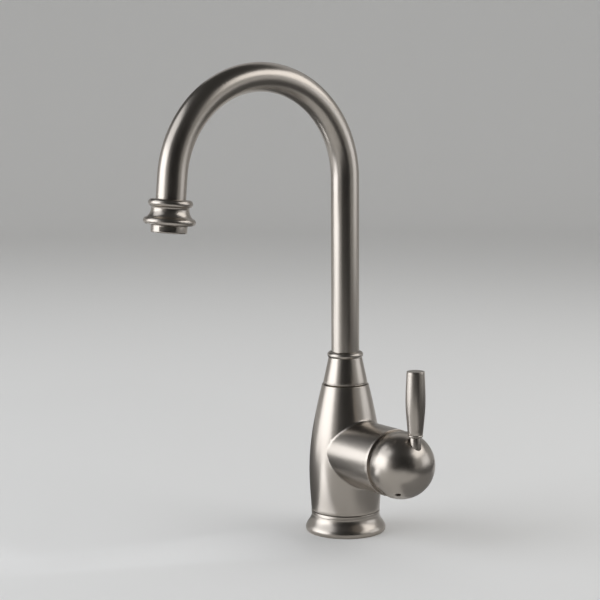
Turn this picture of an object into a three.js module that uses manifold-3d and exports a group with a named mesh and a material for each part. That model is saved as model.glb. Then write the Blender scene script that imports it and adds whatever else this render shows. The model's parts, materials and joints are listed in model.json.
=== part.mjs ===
// Gooseneck bar faucet with a ball-shaped side handle. Millimetres, +Z up.
// The origin is the centre of the body's foot, on the deck. The spout points to -Y and the handle to +X.

import * as THREE from 'three';
import { mergeVertices } from 'three/addons/utils/BufferGeometryUtils.js';
import Module from 'manifold-3d';

const wasm = await Module();
wasm.setup();

const { degToRad } = THREE.MathUtils;

// ---------------------------------------------------------------- driving dimensions

// Clearances
const seat = 0.3; // between faces that seat on each other
const slip = 0.3; // radial, round a piece in its bore
const stackGap = 0.2; // between the plates of the cartridge
const sealGap = 0.12; // on each side of a rubber ring in its groove
const over = 1; // how far a cut starts outside the face that it opens

// Gooseneck tube
const tubeRadius = 9.525;
const tubeWall = 1.2;
const archRadius = 67.7;
const archHeight = 242.2;
const archSweep = degToRad(174.8);
const archTail = 16.7; // straight tube from the arch to the nozzle's upper bead

// Nozzle, along the water's way from the middle of its upper bead
const upperBeadStand = 4.6; // how far the bead stands out from the tube
const upperBeadRound = 2.5;
const coveStand = 2;
const coveEntry = 1.1; // past the upper bead, where the cove has drawn in
const coveSpread = 0.7; // how much wider the cove is at its lower end
const coveShare = degToRad(17); // of each bead's half round that the cove takes over
const lowerBeadStand = 7.1;
const lowerBeadRound = 2.3;
const lowerBeadPlace = 11.3;
const tubeSocketDepth = 5;
const nozzleLedge = 1.2;

// Aerator
const aeratorRadius = 11.5;
const aeratorLength = 4.7; // the part that shows under the nozzle
const aeratorThreadStep = 0.8;
const aeratorWall = 1.1;
const aeratorRound = 0.8;
const aeratorLip = 0.8; // keeps the insert in
const aeratorLipHeight = 1;
const insertSetback = 0.6; // below the housing's top
const aeratorGasketHeight = 1.4;
const wrenchFlatWidth = 10;
const wrenchFlatHeight = 2.9;
const wrenchFlatTurn = degToRad(37);
const passageRings = 3; // with the middle passage counted as one
const passageRadius = 1.1;
const passagePitch = 3.3;

// Neck collar
const collarSeam = 0.55;
const collarWall = 2;
const collarHeight = 17.6;
const collarTopWall = 2;
const collarLipStand = 2.7;
const collarLipRound = 2.2;
const collarLipUnderturn = degToRad(52); // how far the lip's round goes below its widest point

// Swivel
const spigotRadius = 11.2;
const spigotDepth = 27.8;
const spigotWall = 1.5;
const spigotStubLength = 13.8;
const shoulderStand = 1.7;
const shoulderHeight = 4.2;
const washerHeight = 1.2;
const ringGrooveDepth = 1.2;
const ringGrooveHeight = 2.2;
const ringGrooveRise = 2.2;
const ringSplit = degToRad(18); // half of the ring's opening
const bodyRingGrooveDepth = 0.9;
const swivelSealDepth = 1.4;
const swivelSealWidth = 2.6;
const lowerSealRise = 8;
const sealSpacing = 6;
const guideRingRise = 19;
const guideRingDepth = 0.9;
const swivelFloorGap = 0.6;

// Body
const bodyTop = 102;
const rimStand = 0.9; // how far the rim stands out from the collar above it
const rimRound = 1;
const neckSlope = 0.235; // radius lost for each millimetre of height under the rim
const neckStretch = 22;
const shoulderStretch = 20;
const bellyRadius = 24.9;
const bellyHeight = 42;
const bellyStretch = 10;
const footJointRadius = 23.5;
const footSpread = 0.4;
const footStretch = 7.5;
const footRadius = 20.5;
const edge = 0.4; // small chamfers

// Base flange
const flangeHeight = 14.2;
const flangeThroatRadius = 23.3;
const flangeLipRadius = 27.5;
const flangeLipHeight = 3.9;
const flangeLipTuck = 0.6; // how far the lip draws in at the deck
const flangeLipSwell = 0.2;
const flangeLipShoulder = 0.5; // how far it has drawn in where the flare starts
const flareTop = 11.8;
const flareLean = 1.3; // how far the flare draws in over its first stretch
const flareStretch = 1.95;
const throatStretch = 3.5;
const flangeRimStand = 0.3;
const gasketInnerRadius = 22;
const gasketWidth = 3.4;
const gasketHeight = 1.1;

// Valve boss and ball handle
const bossHeight = 56.3;
const bossRadius = 22.5;
const bossReach = 52.4;
const mouthWall = 1.1;
const mouthGap = 0.4;
const ballStandOut = 8; // from the boss's end to the ball's centre, which is the tilt axis
const ballWall = 2.25;
const skirtOverlap = degToRad(4);
const skirtClearance = 0.7;
const flowAngle = degToRad(20);

// Cartridge, measured along the valve axis from the tilt axis
const cartridgeRadius = 12.4;
const cartridgeLength = 33.9;
const portSealHeight = 1.1;
const cartridgeBaseHeight = 4.2;
const basePortClearance = 0.4;
const baseSealDepth = 1.2;
const fixedDiscHeight = 2.8;
const fixedDiscRadius = 10.4;
const movingDiscHeight = 2.4;
const movingDiscRadius = 8.6;
const mixingPocketRadius = 3.8;
const mixingPocketDepth = 1.4;
const carrierHeight = 2.5;
const postWall = 1.2;
const housingWall = 1.4;
const noseRadius = 12.1;
const noseSetback = 2.9;
const clampFlangeStand = 1.6;
const clampFlangeHeight = 2.1;
const nutHeight = 4.1;
const nutNotchWidth = 4;
const nutNotchDepth = 1.5;
const rotorRadius = 9;
const rotorTop = 3;
const rotorFlangeWall = 1.2;
const rotorSealSetback = 6;
const smallSealWidth = 1.8;
const smallSealDepth = 0.8;
const inletPortRise = 3.8;
const inletPortSpread = 3.2;
const inletPortRadius = 1.4;
const outletPortDrop = 3.4;
const outletPortRadius = 2.6;

// Stem
const stemArm = 12;
const tipRadius = 2;
const armHalf = 1.4;
const armHalfWidth = 2.5;
const shankSide = 8;
const shankStart = 3; // how far the square shank reaches behind the tilt axis
const shankTurnStart = 5.5;
const shankEnd = 13;
const socketFace = 7.1; // from the tilt axis to the ball's solid part
const socketClearance = 0.25;
const pinRadius = 1.5;
const pinSetback = 0.8; // of the pin's ends inside the rotor

// Lever and set screw
const leverOffset = 14.7; // outboard of the ball's centre
const neckRadius = 3.6;
const neckSeatDepth = 1.1;
const studRadius = 2.5;
const studDepth = 4.6;
const studReach = 9.7;
const gripBase = 21.3; // above the valve axis
const gripLength = 43.3;
const gripEndRadius = 5;
const gripBellyRadius = 6.5;
const gripBellyRise = 24;
const gripTopRadius = 5.85;
const gripBead = 0.3;
const screwTurn = degToRad(34); // from straight down towards the front
const screwPlace = 10.6;
const screwRadius = 1.5;
const screwLength = 6;
const screwSocketRadius = 0.9; // to the corners of the six-sided socket
const screwSocketDepth = 2;

// Waterways in the body
const supplyPlace = 7;
const supplySpread = 7.5;
const supplyRadius = 3.2;
const inletRadius = 2.4;
const riserRadius = 4;
const hoseSocketRadius = 4.5;
const hoseSocketDepth = 14;
const studSocketPlace = 11;
const studSocketRadius = 3.4;
const studSocketDepth = 12;

// Facets
const bodySides = 32;
const roundSides = 28;
const nozzleSides = 24;
const boreSides = 20;
const smallSides = 12;
const tubeSides = 20;
const archSteps = 22;

// ---------------------------------------------------------------- derived dimensions

const tubeBore = tubeRadius - tubeWall;

const swivelBore = spigotRadius + slip;
const shoulderRadius = spigotRadius + shoulderStand;
const shoulderTop = bodyTop + shoulderHeight;
const collarFootRadius = shoulderRadius + seat + collarWall;
const rimRadius = collarFootRadius + rimStand;
const spigotBottom = bodyTop - spigotDepth;
const washerSeat = bodyTop - washerHeight - 2 * stackGap;
const spigotStubRadius = tubeBore - slip;
const guideRecessHeight = spigotDepth - guideRingRise - washerHeight - 4 * stackGap;

const footJointHeight = flangeHeight + seat;
const flangeBore = footRadius + seat;

const mouthRadius = bossRadius - mouthWall;
const ballRadius = Math.hypot(mouthRadius - mouthGap, ballStandOut);
const ballReach = bossReach + ballStandOut;
const mouthAngle = Math.asin(ballStandOut / ballRadius);
const skirtAngle = mouthAngle + skirtOverlap + flowAngle; // of the skirt's deepest edge, at the top
const cavityRadius = ballRadius - ballWall;
const recessFloor = -ballRadius * Math.sin(skirtAngle) - skirtClearance;

const chamberFloor = -cartridgeLength;
const chamberReach = ballReach + chamberFloor; // the chamber's floor, from the body's axis
const portSealBottom = chamberFloor + stackGap;
const cartridgeBaseBottom = portSealBottom + portSealHeight + stackGap;
const fixedDiscBottom = cartridgeBaseBottom + cartridgeBaseHeight + stackGap;
const movingDiscBottom = fixedDiscBottom + fixedDiscHeight + stackGap;
const carrierBottom = movingDiscBottom + movingDiscHeight + stackGap;
const rotorBottom = carrierBottom + carrierHeight + stackGap;
const nutTop = recessFloor - stackGap;
const nutBottom = nutTop - nutHeight;
const clampFlangeTop = nutBottom - seat;
const clampFlangeBottom = clampFlangeTop - clampFlangeHeight;
const clampRadius = cartridgeRadius + clampFlangeStand;
const housingBore = cartridgeRadius - housingWall;
const rotorBore = rotorRadius + slip;
const rotorFlangeRadius = housingBore - slip;
const carrierTop = -stemArm + tipRadius;
const rotorFlangeTop = carrierTop + slip + rotorFlangeWall;
const discTravel = stemArm * flowAngle;
const discRest = -discTravel / 2;
const postHalfUp = tipRadius + slip + postWall;
const postHalfWide = armHalfWidth + slip + postWall;

const neckEdge = leverOffset + neckRadius + slip; // the outer side of the neck's seat in the ball
const neckSeatHeight = Math.sqrt(ballRadius ** 2 - neckEdge ** 2) - neckSeatDepth;

const aeratorThreadRadius = aeratorRadius - aeratorThreadStep;
const nozzleEnd = lowerBeadPlace + lowerBeadRound;
const threadTop = tubeSocketDepth + seat + nozzleLedge;
const aeratorTop = threadTop + aeratorGasketHeight + 2 * stackGap;
const aeratorEnd = nozzleEnd + seat + aeratorLength;

// ---------------------------------------------------------------- shape helpers

const p = (r, z) => new THREE.Vector2(r, z);
const at = (x, y, z) => new THREE.Vector3(x, y, z);

// Points on a round stretch of a profile, with angles in radians from +r towards +z.
function arc(r, z, radius, from, to, steps = 5) {
  const points = [];
  for (let i = 0; i <= steps; i++) {
    const angle = from + ((to - from) * i) / steps;
    points.push(p(r + radius * Math.cos(angle), z + radius * Math.sin(angle)));
  }
  return points;
}

// Points on a cubic curve of a profile, which leaves towards startPull and arrives from endPull.
function curve(start, startPull, endPull, end, steps = 6) {
  return new THREE.CubicBezierCurve(start, startPull, endPull, end).getPoints(steps);
}

// A profile turned about Z. It starts and ends on the axis, or is closed here on itself.
function turned(profile, sides = roundSides) {
  const points = THREE.ShapeUtils.area(profile) > 0 ? [...profile] : [...profile].reverse();
  if (points[0].x > 0) points.push(points[0].clone());
  return new THREE.LatheGeometry(points, sides).rotateX(Math.PI / 2);
}

// A flat ring with square edges.
function ring(inner, outer, bottom, height) {
  const top = bottom + height;
  return turned([p(inner, bottom), p(outer, bottom), p(outer, top), p(inner, top)], boreSides);
}

// A rubber ring in a groove between two radii.
function sealRing(grooveRadius, boreRadius, middle) {
  const section = (boreRadius - grooveRadius) / 2 - sealGap;
  const centre = (boreRadius + grooveRadius) / 2;
  return new THREE.TorusGeometry(centre, section, 6, boreSides).translate(0, 0, middle);
}

// A round rod between two points.
function rod(radius, from, to, sides = smallSides) {
  const along = to.clone().sub(from);
  const turn = new THREE.Quaternion().setFromUnitVectors(at(0, 1, 0), along.clone().normalize());
  const middle = from.clone().add(to).multiplyScalar(0.5);
  const geometry = new THREE.CylinderGeometry(radius, radius, along.length(), sides);
  return geometry.applyQuaternion(turn).translate(middle.x, middle.y, middle.z);
}

// A box given by its lowest and highest corners.
function block(low, high) {
  const size = high.clone().sub(low);
  const middle = low.clone().add(high).multiplyScalar(0.5);
  return new THREE.BoxGeometry(size.x, size.y, size.z).translate(middle.x, middle.y, middle.z);
}

// A closed geometry as a solid that can be cut and joined.
function solid(geometry) {
  const bare = geometry.clone();
  bare.deleteAttribute('normal');
  bare.deleteAttribute('uv');
  const merged = mergeVertices(bare);
  const corners = merged.index.array;
  const kept = [];
  for (let i = 0; i < corners.length; i += 3) {
    const [a, b, c] = corners.slice(i, i + 3);
    if (a !== b && b !== c && c !== a) kept.push(a, b, c);
  }
  const vertProperties = merged.attributes.position.array;
  return new wasm.Manifold(new wasm.Mesh({ numProp: 3, vertProperties, triVerts: new Uint32Array(kept) }));
}

// A first geometry with others joined to it and then others cut from it, as a geometry again.
function carved(start, { joins = [], cuts = [] }) {
  let shape = solid(start);
  for (const join of joins) shape = shape.add(solid(join));
  for (const cut of cuts) shape = shape.subtract(solid(cut));
  const mesh = shape.getMesh();
  const geometry = new THREE.BufferGeometry();
  geometry.setAttribute('position', new THREE.BufferAttribute(mesh.vertProperties, 3));
  geometry.setIndex(new THREE.BufferAttribute(mesh.triVerts, 1));
  const faceted = geometry.toNonIndexed();
  faceted.computeVertexNormals();
  return faceted;
}

// The valve's frame: x up, y to the front, z out along the handle's axis, from the tilt axis.
const valveFrame = new THREE.Matrix4()
  .makeRotationAxis(at(1, 0, 1).normalize(), Math.PI)
  .setPosition(ballReach, 0, bossHeight);

// ---------------------------------------------------------------- base and body

function baseFlange() {
  const lip = flangeLipRadius;
  const throat = flangeThroatRadius;
  const grooveInner = gasketInnerRadius - seat;
  const grooveOuter = gasketInnerRadius + gasketWidth + seat;
  const grooveDepth = gasketHeight + seat;
  const swell = lip + flangeLipSwell;
  const lipTop = p(lip - flangeLipShoulder, flangeLipHeight);
  const flareFoot = p(lip - flareLean, flangeLipHeight + flareStretch);
  return turned([
    p(flangeBore, 0),
    p(grooveInner, 0),
    p(grooveInner, grooveDepth),
    p(grooveOuter, grooveDepth),
    p(grooveOuter, 0),
    ...curve(
      p(lip - flangeLipTuck, 0),
      p(swell, flangeLipHeight / 4),
      p(swell, (flangeLipHeight * 2) / 3),
      lipTop,
      4,
    ),
    ...curve(lipTop, flareFoot, p(throat, flareTop - throatStretch), p(throat, flareTop), 5).slice(1),
    p(throat + flangeRimStand, (flareTop + flangeHeight) / 2),
    p(throat + flangeRimStand, flangeHeight - edge),
    p(throat, flangeHeight),
    p(flangeBore, flangeHeight),
  ], bodySides);
}

function baseGasket() {
  return ring(gasketInnerRadius, gasketInnerRadius + gasketWidth, 0, gasketHeight);
}

// The bottle shape: a slight swell from the foot to the belly, then a long taper to the rim.
function bottle() {
  const rim = p(rimRadius, bodyTop - rimRound);
  const footJoint = p(footJointRadius, footJointHeight + edge);
  const belly = p(bellyRadius, bellyHeight);
  return turned([
    p(0, 0),
    p(footRadius - edge, 0),
    p(footRadius, edge),
    p(footRadius, footJointHeight),
    p(footJointRadius - edge, footJointHeight),
    ...curve(
      footJoint,
      p(footJointRadius + footSpread, footJointHeight + footStretch),
      p(bellyRadius, bellyHeight - bellyStretch),
      belly,
      3,
    ),
    ...curve(
      belly,
      p(bellyRadius, bellyHeight + shoulderStretch),
      p(rimRadius + neckSlope * neckStretch, bodyTop - neckStretch),
      rim,
      8,
    ).slice(1),
    ...arc(rimRadius - rimRound, bodyTop - rimRound, rimRound, 0, Math.PI / 2, 3).slice(1),
    p(0, bodyTop),
  ], bodySides);
}

function valveBoss() {
  const end = -ballStandOut;
  return turned([
    p(0, -ballReach),
    p(bossRadius, -ballReach),
    ...arc(bossRadius - edge, end - edge, edge, 0, Math.PI / 2, 2),
    p(0, end),
  ]).applyMatrix4(valveFrame);
}

// The stepped bore for the cartridge, its nut and the ball's skirt.
function valveChamber() {
  const mouth = -ballStandOut;
  const counterbore = clampFlangeBottom - seat;
  return turned(
    [
      p(0, chamberFloor),
      p(cartridgeRadius + slip, chamberFloor),
      p(cartridgeRadius + slip, counterbore),
      p(clampRadius + slip, counterbore),
      p(clampRadius + slip, recessFloor),
      p(mouthRadius, recessFloor),
      p(mouthRadius, mouth - edge),
      p(mouthRadius + edge, mouth),
      p(mouthRadius + edge, mouth + over),
      p(0, mouth + over),
    ],
    roundSides,
  ).applyMatrix4(valveFrame);
}

// The bore that the spout's spigot turns in, with the riser that feeds it from the valve's outlet.
function swivelChamber() {
  const floor = spigotBottom - swivelFloorGap;
  const ringBottom = spigotBottom + ringGrooveRise;
  const ringTop = ringBottom + ringGrooveHeight;
  const riserBottom = bossHeight - outletPortDrop - outletPortRadius;
  const washerBore = shoulderRadius + seat;
  return turned(
    [
      p(0, riserBottom),
      p(riserRadius, riserBottom),
      p(riserRadius, floor),
      p(swivelBore, floor),
      p(swivelBore, ringBottom),
      p(swivelBore + bodyRingGrooveDepth, ringBottom),
      p(swivelBore + bodyRingGrooveDepth, ringTop),
      p(swivelBore, ringTop),
      p(swivelBore, washerSeat),
      p(washerBore, washerSeat),
      p(washerBore, bodyTop + over),
      p(0, bodyTop + over),
    ],
    boreSides,
  );
}

// Hot or cold water: hose socket in the foot, supply bore up, and a slanting inlet bore to the valve.
function supplyWay(side) {
  const height = bossHeight + inletPortRise;
  const y = side * supplySpread;
  const inletY = side * inletPortSpread;
  return [
    rod(hoseSocketRadius, at(supplyPlace, y, -over), at(supplyPlace, y, hoseSocketDepth)),
    rod(supplyRadius, at(supplyPlace, y, hoseSocketDepth - over), at(supplyPlace, y, height + inletRadius)),
    rod(inletRadius, at(supplyPlace, y, height), at(chamberReach + over, inletY, height)),
  ];
}

function bodyCasting() {
  const outletHeight = bossHeight - outletPortDrop;
  return carved(bottle(), {
    joins: [valveBoss()],
    cuts: [
      valveChamber(),
      swivelChamber(),
      ...supplyWay(1),
      ...supplyWay(-1),
      rod(outletPortRadius, at(0, 0, outletHeight), at(chamberReach + over, 0, outletHeight)),
      rod(studSocketRadius, at(-studSocketPlace, 0, -over), at(-studSocketPlace, 0, studSocketDepth)),
    ],
  });
}

// ---------------------------------------------------------------- spout

// Riser, arch and tail of the gooseneck, with one step for each straight run.
class Gooseneck extends THREE.Curve {
  constructor(start, tail) {
    super();
    this.start = start;
    this.tail = tail;
    this.steps = archSteps + 2;
  }

  getPoint(t) {
    const step = t * this.steps;
    if (step <= 1) return at(0, 0, THREE.MathUtils.lerp(this.start, archHeight, step));
    const turn = (archSweep * Math.min(step - 1, archSteps)) / archSteps;
    const beyond = this.tail * Math.max(step - 1 - archSteps, 0);
    return at(
      0,
      -archRadius * (1 - Math.cos(turn)) - beyond * Math.sin(turn),
      archHeight + archRadius * Math.sin(turn) + beyond * Math.cos(turn),
    );
  }

  // The rings stay at the steps, and aren't spread by length.
  getUtoTmapping(u) {
    return u;
  }
}

function spoutTube() {
  const section = new THREE.Shape().absarc(0, 0, tubeRadius, 0, 2 * Math.PI);
  section.holes.push(new THREE.Path().absarc(0, 0, tubeBore, 0, 2 * Math.PI));
  const extrudePath = new Gooseneck(shoulderTop + seat, archTail + tubeSocketDepth);
  const { steps } = extrudePath;
  return new THREE.ExtrudeGeometry(section, { steps, extrudePath, curveSegments: tubeSides / 2 });
}

function spoutCollar() {
  const bottom = bodyTop + collarSeam;
  const coneTop = bottom + collarHeight;
  const lipRadius = tubeRadius + collarLipStand;
  const lipMiddle = coneTop + collarLipRound;
  return turned([
    p(shoulderRadius + seat, bottom),
    p(collarFootRadius - edge, bottom),
    p(collarFootRadius, bottom + edge),
    p(collarFootRadius - edge / 2, bottom + 3 * edge),
    p(tubeRadius + collarTopWall, coneTop),
    ...arc(lipRadius - collarLipRound, lipMiddle, collarLipRound, -collarLipUnderturn, Math.PI / 2, 5),
    p(tubeRadius + slip, lipMiddle + collarLipRound),
    p(tubeRadius + slip, shoulderTop + seat),
    p(shoulderRadius + seat, shoulderTop + seat),
  ]);
}

// Turned brass spigot: ring groove, two seal grooves, guide recess, shoulder and a stub inside the tube.
function swivelSpigot() {
  const bore = spigotStubRadius - spigotWall;
  const outline = [
    p(bore, spigotBottom),
    p(spigotRadius - edge, spigotBottom),
    p(spigotRadius, spigotBottom + edge),
  ];
  const groove = (rise, height, depth) => {
    const bottom = spigotBottom + rise;
    outline.push(
      p(spigotRadius, bottom),
      p(spigotRadius - depth, bottom),
      p(spigotRadius - depth, bottom + height),
      p(spigotRadius, bottom + height),
    );
  };
  groove(ringGrooveRise, ringGrooveHeight, ringGrooveDepth);
  groove(lowerSealRise, swivelSealWidth, swivelSealDepth);
  groove(lowerSealRise + sealSpacing, swivelSealWidth, swivelSealDepth);
  groove(guideRingRise, guideRecessHeight, guideRingDepth);
  outline.push(
    p(spigotRadius, bodyTop),
    p(shoulderRadius, bodyTop),
    p(shoulderRadius, shoulderTop),
    p(spigotStubRadius, shoulderTop),
    p(spigotStubRadius, shoulderTop + spigotStubLength),
    p(bore, shoulderTop + spigotStubLength),
  );
  return turned(outline, boreSides);
}

function swivelSeal(index) {
  const middle = spigotBottom + lowerSealRise + index * sealSpacing + swivelSealWidth / 2;
  return sealRing(spigotRadius - swivelSealDepth, swivelBore, middle);
}

function swivelGuideRing() {
  const inner = spigotRadius - guideRingDepth + stackGap;
  const bottom = spigotBottom + guideRingRise + stackGap;
  return ring(inner, swivelBore - stackGap, bottom, guideRecessHeight - 2 * stackGap);
}

function swivelWasher() {
  return ring(swivelBore, shoulderRadius, washerSeat + stackGap, washerHeight);
}

// A split ring that sits half in the spigot's groove and half in the body's.
function retainingRing() {
  const inner = spigotRadius - ringGrooveDepth + seat;
  const outer = swivelBore + bodyRingGrooveDepth - seat;
  const outline = new THREE.Shape()
    .absarc(0, 0, outer, ringSplit, 2 * Math.PI - ringSplit)
    .absarc(0, 0, inner, 2 * Math.PI - ringSplit, ringSplit, true);
  const options = { depth: ringGrooveHeight - 2 * seat, bevelEnabled: false, curveSegments: boreSides / 2 };
  return new THREE.ExtrudeGeometry(outline, options).translate(0, 0, spigotBottom + ringGrooveRise + seat);
}

// ---------------------------------------------------------------- nozzle, along the water's way

function nozzle() {
  const upper = tubeRadius + upperBeadStand - upperBeadRound;
  const lower = tubeRadius + lowerBeadStand - lowerBeadRound;
  const quarter = Math.PI / 2;
  const upperBead = arc(upper, 0, upperBeadRound, -quarter, quarter - coveShare, 6);
  const lowerBead = arc(lower, lowerBeadPlace, lowerBeadRound, coveShare - quarter, quarter, 6);
  const cove = tubeRadius + coveStand;
  const coveTop = p(cove, upperBeadRound + coveEntry);
  const coveFoot = p(cove + coveSpread, lowerBeadPlace - 2 * lowerBeadRound);
  const threadBore = aeratorThreadRadius + slip;
  return turned([
    p(tubeRadius + slip, -upperBeadRound),
    ...upperBead,
    ...curve(upperBead.at(-1), coveTop, coveFoot, lowerBead[0], 5).slice(1, -1),
    ...lowerBead,
    p(threadBore, nozzleEnd),
    p(threadBore, threadTop),
    p(tubeBore, threadTop),
    p(tubeBore, tubeSocketDepth + seat),
    p(tubeRadius + slip, tubeSocketDepth + seat),
  ], nozzleSides);
}

function aeratorGasket() {
  return ring(tubeBore, aeratorThreadRadius - slip, threadTop + stackGap, aeratorGasketHeight);
}

// The threaded ring, with a wrench flat milled into each of two opposite sides.
function aeratorHousing() {
  const shelf = nozzleEnd + seat;
  const bore = aeratorThreadRadius - aeratorWall;
  const body = turned([
    p(bore, aeratorTop),
    p(aeratorThreadRadius, aeratorTop),
    p(aeratorThreadRadius, shelf),
    p(aeratorRadius, shelf),
    ...arc(aeratorRadius - aeratorRound, aeratorEnd - aeratorRound, aeratorRound, 0, Math.PI / 2, 3),
    p(bore - aeratorLip, aeratorEnd),
    p(bore - aeratorLip, aeratorEnd - aeratorLipHeight),
    p(bore, aeratorEnd - aeratorLipHeight),
  ], nozzleSides);
  const flatDistance = Math.sqrt(aeratorRadius ** 2 - (wrenchFlatWidth / 2) ** 2);
  const flatMiddle = (shelf + aeratorEnd) / 2;
  const cuts = [0, Math.PI].map((opposite) =>
    block(
      at(flatDistance, -wrenchFlatWidth, flatMiddle - wrenchFlatHeight / 2),
      at(aeratorRadius + over, wrenchFlatWidth, flatMiddle + wrenchFlatHeight / 2),
    ).rotateZ(wrenchFlatTurn + opposite),
  );
  return carved(body, { cuts });
}

// A plastic plug with six-sided passages in rings round a middle one.
function aeratorInsert() {
  const radius = aeratorThreadRadius - aeratorWall - slip;
  const round = ({ x, y }, size, sides) =>
    new THREE.Path().absarc(x, y, size, 0, 2 * Math.PI).getPoints(sides / 2);
  const outline = new THREE.Shape(round(p(0, 0), radius, boreSides));
  for (let ringIndex = 0; ringIndex < passageRings; ringIndex++) {
    const count = Math.max(6 * ringIndex, 1);
    for (let i = 0; i < count; i++) {
      const place = p(ringIndex * passagePitch, 0).rotateAround(p(0, 0), (2 * Math.PI * i) / count);
      outline.holes.push(new THREE.Path(round(place, passageRadius, 6)));
    }
  }
  const start = aeratorTop + insertSetback;
  const depth = aeratorEnd - aeratorLipHeight - seat - start;
  return new THREE.ExtrudeGeometry(outline, { depth, bevelEnabled: false }).translate(0, 0, start);
}

// ---------------------------------------------------------------- cartridge, in the valve's frame

// The three ways through the seal, the base and the fixed disc.
function portBores(inlet, outlet, bottom, top) {
  const through = (x, y, radius) => rod(radius, at(x, y, bottom - over), at(x, y, top + over));
  return [
    through(inletPortRise, inletPortSpread, inlet),
    through(inletPortRise, -inletPortSpread, inlet),
    through(-outletPortDrop, 0, outlet),
  ];
}

function ported(radius, bottom, height, inlet, outlet) {
  const top = bottom + height;
  const plate = turned([p(0, bottom), p(radius, bottom), p(radius, top), p(0, top)], boreSides);
  return carved(plate, { cuts: portBores(inlet, outlet, bottom, top) });
}

function portSeal() {
  return ported(cartridgeRadius - slip, portSealBottom, portSealHeight, inletRadius, outletPortRadius);
}

function cartridgeBase() {
  const bottom = cartridgeBaseBottom;
  const top = bottom + cartridgeBaseHeight;
  const middle = (bottom + top) / 2;
  const groove = cartridgeRadius - baseSealDepth;
  const body = turned(
    [
      p(0, bottom),
      p(cartridgeRadius, bottom),
      p(cartridgeRadius, middle - smallSealWidth / 2),
      p(groove, middle - smallSealWidth / 2),
      p(groove, middle + smallSealWidth / 2),
      p(cartridgeRadius, middle + smallSealWidth / 2),
      p(cartridgeRadius, top),
      p(0, top),
    ],
    boreSides,
  );
  const inlet = inletPortRadius + basePortClearance;
  return carved(body, { cuts: portBores(inlet, outletPortRadius, bottom, top) });
}

function cartridgeSeal() {
  const middle = cartridgeBaseBottom + cartridgeBaseHeight / 2;
  return sealRing(cartridgeRadius - baseSealDepth, cartridgeRadius + slip, middle);
}

function fixedDisc() {
  return ported(fixedDiscRadius, fixedDiscBottom, fixedDiscHeight, inletPortRadius, outletPortRadius);
}

// The disc that slides up as the handle tilts out: its pocket then joins the inlets to the outlet.
function movingDisc() {
  const bottom = movingDiscBottom;
  const top = bottom + movingDiscHeight;
  const roof = bottom + mixingPocketDepth;
  return turned(
    [
      p(0, roof),
      p(mixingPocketRadius, roof),
      p(mixingPocketRadius, bottom),
      p(movingDiscRadius, bottom),
      p(movingDiscRadius, top),
      p(0, top),
    ],
    boreSides,
  ).translate(discRest, 0, 0);
}

function discCarrier() {
  const top = carrierBottom + carrierHeight;
  const plate = turned(
    [p(0, carrierBottom), p(movingDiscRadius, carrierBottom), p(movingDiscRadius, top), p(0, top)],
    boreSides,
  ).translate(discRest, 0, 0);
  const post = block(at(-postHalfUp, -postHalfWide, top - over), at(postHalfUp, postHalfWide, carrierTop));
  const pocketUp = tipRadius + slip;
  const pocketWide = armHalfWidth + slip;
  const pocketLow = at(-pocketUp, -pocketWide, -stemArm - tipRadius - 2 * slip);
  const pocket = block(pocketLow, at(pocketUp, pocketWide, carrierTop + over));
  return carved(plate, { joins: [post], cuts: [pocket] });
}

function cartridgeHousing() {
  const bottom = fixedDiscBottom;
  const ledge = rotorFlangeTop + stackGap;
  return turned([
    p(housingBore, bottom),
    p(cartridgeRadius, bottom),
    p(cartridgeRadius, clampFlangeBottom),
    p(clampRadius, clampFlangeBottom),
    p(clampRadius, clampFlangeTop),
    p(noseRadius, clampFlangeTop),
    p(noseRadius, -noseSetback - edge),
    p(noseRadius - edge, -noseSetback),
    p(rotorBore, -noseSetback),
    p(rotorBore, ledge),
    p(housingBore, ledge),
  ], boreSides);
}

function cartridgeNut() {
  const nut = ring(noseRadius + slip, clampRadius, nutBottom, nutHeight);
  const low = at(0, -nutNotchWidth / 2, nutTop - nutNotchDepth);
  const high = at(clampRadius + over, nutNotchWidth / 2, nutTop + over);
  const cuts = [0, 1, 2, 3].map((quarter) => block(low, high).rotateZ((quarter * Math.PI) / 2));
  return carved(nut, { cuts });
}

// The stem guide: it turns in the housing, and its slots let the stem tilt and the carrier slide.
function cartridgeRotor() {
  const sealBottom = -rotorSealSetback - smallSealWidth / 2;
  const sealTop = sealBottom + smallSealWidth;
  const body = turned(
    [
      p(0, rotorBottom),
      p(rotorFlangeRadius, rotorBottom),
      p(rotorFlangeRadius, rotorFlangeTop),
      p(rotorRadius, rotorFlangeTop),
      p(rotorRadius, sealBottom),
      p(rotorRadius - smallSealDepth, sealBottom),
      p(rotorRadius - smallSealDepth, sealTop),
      p(rotorRadius, sealTop),
      p(rotorRadius, rotorTop),
      p(0, rotorTop),
    ],
    boreSides,
  );
  const postSlot = block(
    at(-postHalfUp - slip, -postHalfWide - slip, rotorBottom - over),
    at(postHalfUp + discTravel + slip, postHalfWide + slip, carrierTop + slip),
  );
  const pinEnd = rotorRadius + over;
  const pinHole = rod(pinRadius + slip / 2, at(0, -pinEnd, 0), at(0, pinEnd, 0));
  return carved(body, { cuts: [postSlot, armSlot(), shankSlot(), pinHole] });
}

// Room for the stem's inner arm between rest and full tilt.
function armSlot() {
  const low = carrierTop;
  const high = -shankStart;
  const tilted = (z) => armHalf / Math.cos(flowAngle) - z * Math.tan(flowAngle) + slip;
  const outline = new THREE.Shape([
    p(-armHalf - slip, low),
    p(tilted(low), low),
    p(tilted(high), high),
    p(-armHalf - slip, high),
  ]);
  const width = 2 * (armHalfWidth + slip);
  const slot = new THREE.ExtrudeGeometry(outline, { depth: width, bevelEnabled: false });
  return slot.rotateX(Math.PI / 2).translate(0, width / 2, 0);
}

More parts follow.
